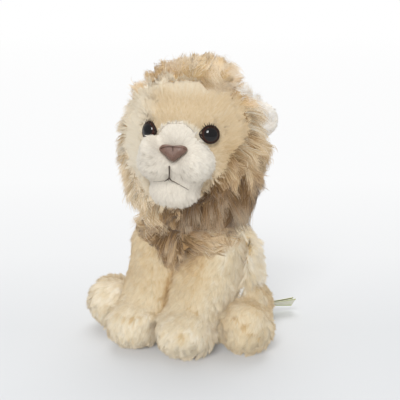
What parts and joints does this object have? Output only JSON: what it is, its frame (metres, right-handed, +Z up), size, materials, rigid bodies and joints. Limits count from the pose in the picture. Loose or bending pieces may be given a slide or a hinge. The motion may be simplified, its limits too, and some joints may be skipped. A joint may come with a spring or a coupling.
{
  "type": "seated plush lion",
  "caption": "Seated stuffed lion with short-pile body, long shaggy mane, padded muzzle, sewn paws, curled tail and a folded care label",
  "frame": {"origin": "on the surface the lion sits on, under the middle of its seat", "axes": "+Z is up, the body looks along -Y, and the lion's own left is +X"},
  "size_m": [0.1339, 0.1269, 0.1861],
  "materials": {
    "tan_plush": "short soft pile",
    "cream_plush": "very short pile",
    "mane_plush": "long shaggy pile",
    "stuffing": "loose polyester fibre",
    "bag_cloth": "plain weave",
    "nose_leather": "soft matt",
    "eye_plastic": "polished",
    "washer_plastic": "as moulded",
    "ribbon": "smooth ribbon"
  },
  "bodies": {
    "torso": {"torso_cover": "tan_plush", "torso_stuffing": "stuffing", "pellet_bag": "bag_cloth", "mane_bib": "mane_plush"},
    "neck": {"neck_cover": "mane_plush", "neck_stuffing": "stuffing"},
    "head": {"face_cover": "tan_plush", "head_stuffing": "stuffing", "muzzle_cover": "cream_plush", "nose_bridge": "cream_plush", "chin_cover": "cream_plush", "nose": "nose_leather", "mane_hood": "mane_plush", "mane_collar": "mane_plush", "mane_crest": "mane_plush", "eye_left": "eye_plastic", "eye_right": "eye_plastic", "eye_washer_left": "washer_plastic", "eye_washer_right": "washer_plastic"},
    "ear_left": {"ear_cover_left": "tan_plush", "ear_lining_left": "cream_plush"},
    "ear_right": {"ear_cover_right": "tan_plush", "ear_lining_right": "cream_plush"},
    "front_leg_left": {"front_leg_cover_left": "tan_plush", "front_leg_stuffing_left": "stuffing"},
    "front_leg_right": {"front_leg_cover_right": "tan_plush", "front_leg_stuffing_right": "stuffing"},
    "hind_leg_left": {"hind_leg_cover_left": "tan_plush", "hind_leg_stuffing_left": "stuffing"},
    "hind_leg_right": {"hind_leg_cover_right": "tan_plush", "hind_leg_stuffing_right": "stuffing"},
    "tail": {"tail_cover": "tan_plush", "tail_tuft": "mane_plush"},
    "label": {"care_label": "ribbon"}
  },
  "joints": [
    {"name": "neck_turn", "type": "hinge", "parent": "torso", "child": "neck", "pos_m": [0, -0.003, 0.0875], "axis": [0, 0, 1], "range_deg": [-15, 15], "stiffness_Nm_per_rad": 0.6},
    {"name": "head_nod", "type": "hinge", "parent": "neck", "child": "head", "pos_m": [0, -0.003, 0.0875], "axis": [0.9781, 0.2079, 0], "range_deg": [-5, 5], "stiffness_Nm_per_rad": 1.2},
    {"name": "ear_fold_left", "type": "hinge", "parent": "head", "child": "ear_left", "pos_m": [0.02717, 0.02067, 0.1293], "axis": [0.6302, 0.3938, -0.6691], "range_deg": [-10, 10], "stiffness_Nm_per_rad": 0.03},
    {"name": "ear_fold_right", "type": "hinge", "parent": "head", "child": "ear_right", "pos_m": [-0.03445, 0.00757, 0.1293], "axis": [0.7359, -0.1034, 0.6691], "range_deg": [-10, 10], "stiffness_Nm_per_rad": 0.03},
    {"name": "front_leg_swing_left", "type": "hinge", "parent": "torso", "child": "front_leg_left", "pos_m": [0.024, -0.008, 0.059], "axis": [-1, 0, 0], "range_deg": [0, 28], "stiffness_Nm_per_rad": 0.3},
    {"name": "front_leg_swing_right", "type": "hinge", "parent": "torso", "child": "front_leg_right", "pos_m": [-0.024, -0.008, 0.059], "axis": [-1, 0, 0], "range_deg": [0, 28], "stiffness_Nm_per_rad": 0.3},
    {"name": "hind_leg_splay_left", "type": "hinge", "parent": "torso", "child": "hind_leg_left", "pos_m": [0.036, 0.007, 0.0185], "axis": [0, 0, 1], "range_deg": [0, 18], "stiffness_Nm_per_rad": 0.3},
    {"name": "hind_leg_splay_right", "type": "hinge", "parent": "torso", "child": "hind_leg_right", "pos_m": [-0.036, 0.007, 0.0185], "axis": [0, 0, -1], "range_deg": [0, 18], "stiffness_Nm_per_rad": 0.3},
    {"name": "tail_swing", "type": "hinge", "parent": "torso", "child": "tail", "pos_m": [0, 0.04549, 0.014], "axis": [0, 0, -1], "range_deg": [0, 45], "stiffness_Nm_per_rad": 0.03},
    {"name": "label_flap", "type": "hinge", "parent": "torso", "child": "label", "pos_m": [0.02709, 0.03508, 0.008], "axis": [0, 0, 1], "range_deg": [-10, 10], "stiffness_Nm_per_rad": 0.002}
  ]
}
